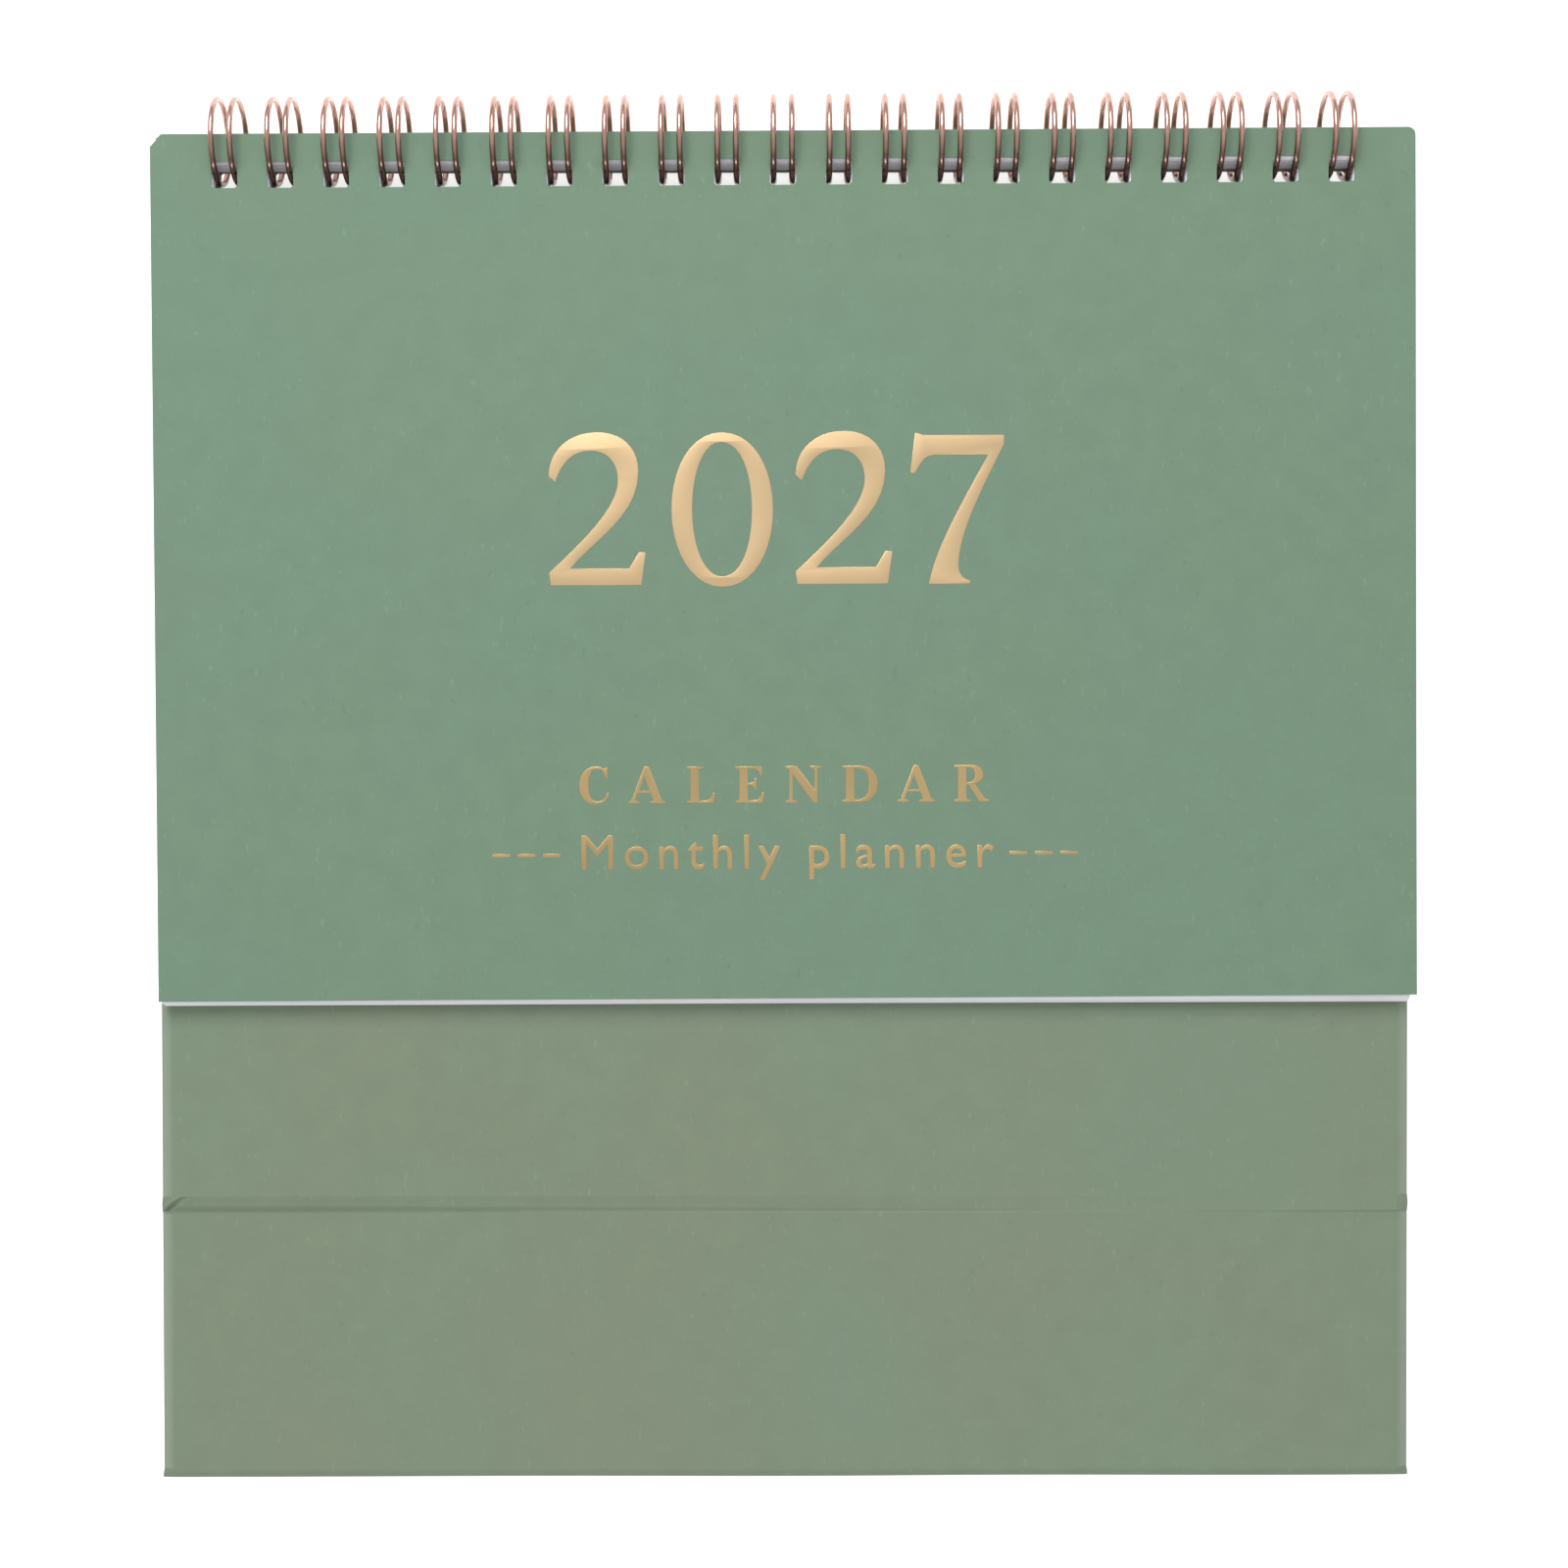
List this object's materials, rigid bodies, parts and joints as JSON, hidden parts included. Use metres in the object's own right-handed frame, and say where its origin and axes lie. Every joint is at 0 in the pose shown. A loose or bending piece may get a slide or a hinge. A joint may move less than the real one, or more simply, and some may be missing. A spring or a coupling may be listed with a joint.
{
  "type": "flip desk calendar",
  "caption": "Wire-bound flip desk calendar with a cover and month sheets on a paper-covered board case that folds flat or opens into a triangular stand.",
  "frame": {"origin": "middle of the bounding box's bottom, on the desk under the folded case", "axes": "+X across the sheets to the right as a reader sees them, +Y up the sheets to the wire rings, +Z out of the cover, away from the desk"},
  "size_m": [0.1918, 0.2124, 0.0136],
  "materials": {
    "greyboard": "matt grey pulp board",
    "covering_paper": "matt sage green printed paper",
    "lining_paper": "matt sage green printed paper",
    "cover_card": "matt sage green printed card with gold foil",
    "month_paper": "uncoated white paper",
    "binding_wire": "rose gold coated steel wire"
  },
  "bodies": {
    "back": {"back_board": "greyboard", "back_covering": "covering_paper", "back_lining": "lining_paper", "back_crease_paper_upper": "covering_paper", "wire_binding": "binding_wire"},
    "front": {"front_board": "greyboard", "front_covering": "covering_paper", "front_lining": "lining_paper", "front_crease_paper": "covering_paper"},
    "front_base": {"front_base_board": "greyboard", "front_base_covering": "covering_paper", "front_base_lining": "lining_paper", "base_fold_paper": "covering_paper"},
    "back_base": {"back_base_board": "greyboard", "back_base_covering": "covering_paper", "back_base_lining": "lining_paper", "back_crease_paper_lower": "covering_paper"},
    "last_sheet": {"last_sheet": "month_paper"},
    "month_sheet_12": {"month_sheet_12": "month_paper"},
    "month_sheet_11": {"month_sheet_11": "month_paper"},
    "month_sheet_10": {"month_sheet_10": "month_paper"},
    "month_sheet_09": {"month_sheet_09": "month_paper"},
    "month_sheet_08": {"month_sheet_08": "month_paper"},
    "month_sheet_07": {"month_sheet_07": "month_paper"},
    "month_sheet_06": {"month_sheet_06": "month_paper"},
    "month_sheet_05": {"month_sheet_05": "month_paper"},
    "month_sheet_04": {"month_sheet_04": "month_paper"},
    "month_sheet_03": {"month_sheet_03": "month_paper"},
    "month_sheet_02": {"month_sheet_02": "month_paper"},
    "month_sheet_01": {"month_sheet_01": "month_paper"},
    "cover_sheet": {"cover_sheet": "cover_card"}
  },
  "joints": [
    {"name": "stand_open", "type": "hinge", "parent": "back", "child": "front", "pos_m": [0, 0.09941, 0.0068], "axis": [1, 0, 0], "range_deg": [-28.51, 0]},
    {"name": "front_crease_fold", "type": "hinge", "parent": "front", "child": "front_base", "pos_m": [0, -0.06386, 0.00355], "axis": [1, 0, 0], "range_deg": [0, 104.75], "deforming": ["front_crease_paper"]},
    {"name": "base_unfold", "type": "hinge", "parent": "front_base", "child": "back_base", "pos_m": [0, -0.10504, 0.00189], "axis": [1, 0, 0], "range_deg": [-179.8, 0], "deforming": ["base_fold_paper"]},
    {"name": "last_sheet_turn", "type": "hinge", "parent": "front", "child": "last_sheet", "pos_m": [0, 0.09941, 0.0068], "axis": [-1, 0, 0], "range_deg": [0, 180]},
    {"name": "month_sheet_12_turn", "type": "hinge", "parent": "last_sheet", "child": "month_sheet_12", "pos_m": [0, 0.09941, 0.0068], "axis": [-1, 0, 0], "range_deg": [0, 180]},
    {"name": "month_sheet_11_turn", "type": "hinge", "parent": "month_sheet_12", "child": "month_sheet_11", "pos_m": [0, 0.09941, 0.0068], "axis": [-1, 0, 0], "range_deg": [0, 180]},
    {"name": "month_sheet_10_turn", "type": "hinge", "parent": "month_sheet_11", "child": "month_sheet_10", "pos_m": [0, 0.09941, 0.0068], "axis": [-1, 0, 0], "range_deg": [0, 180]},
    {"name": "month_sheet_09_turn", "type": "hinge", "parent": "month_sheet_10", "child": "month_sheet_09", "pos_m": [0, 0.09941, 0.0068], "axis": [-1, 0, 0], "range_deg": [0, 180]},
    {"name": "month_sheet_08_turn", "type": "hinge", "parent": "month_sheet_09", "child": "month_sheet_08", "pos_m": [0, 0.09941, 0.0068], "axis": [-1, 0, 0], "range_deg": [0, 180]},
    {"name": "month_sheet_07_turn", "type": "hinge", "parent": "month_sheet_08", "child": "month_sheet_07", "pos_m": [0, 0.09941, 0.0068], "axis": [-1, 0, 0], "range_deg": [0, 180]},
    {"name": "month_sheet_06_turn", "type": "hinge", "parent": "month_sheet_07", "child": "month_sheet_06", "pos_m": [0, 0.09941, 0.0068], "axis": [-1, 0, 0], "range_deg": [0, 180]},
    {"name": "month_sheet_05_turn", "type": "hinge", "parent": "month_sheet_06", "child": "month_sheet_05", "pos_m": [0, 0.09941, 0.0068], "axis": [-1, 0, 0], "range_deg": [0, 180]},
    {"name": "month_sheet_04_turn", "type": "hinge", "parent": "month_sheet_05", "child": "month_sheet_04", "pos_m": [0, 0.09941, 0.0068], "axis": [-1, 0, 0], "range_deg": [0, 180]},
    {"name": "month_sheet_03_turn", "type": "hinge", "parent": "month_sheet_04", "child": "month_sheet_03", "pos_m": [0, 0.09941, 0.0068], "axis": [-1, 0, 0], "range_deg": [0, 180]},
    {"name": "month_sheet_02_turn", "type": "hinge", "parent": "month_sheet_03", "child": "month_sheet_02", "pos_m": [0, 0.09941, 0.0068], "axis": [-1, 0, 0], "range_deg": [0, 180]},
    {"name": "month_sheet_01_turn", "type": "hinge", "parent": "month_sheet_02", "child": "month_sheet_01", "pos_m": [0, 0.09941, 0.0068], "axis": [-1, 0, 0], "range_deg": [0, 180]},
    {"name": "cover_sheet_turn", "type": "hinge", "parent": "month_sheet_01", "child": "cover_sheet", "pos_m": [0, 0.09941, 0.0068], "axis": [-1, 0, 0], "range_deg": [0, 180]}
  ],
  "couplings": [
    {"joint": "front_crease_fold", "follows": "stand_open", "ratio": -3.6747},
    {"joint": "base_unfold", "follows": "stand_open", "ratio": 6.3073}
  ]
}
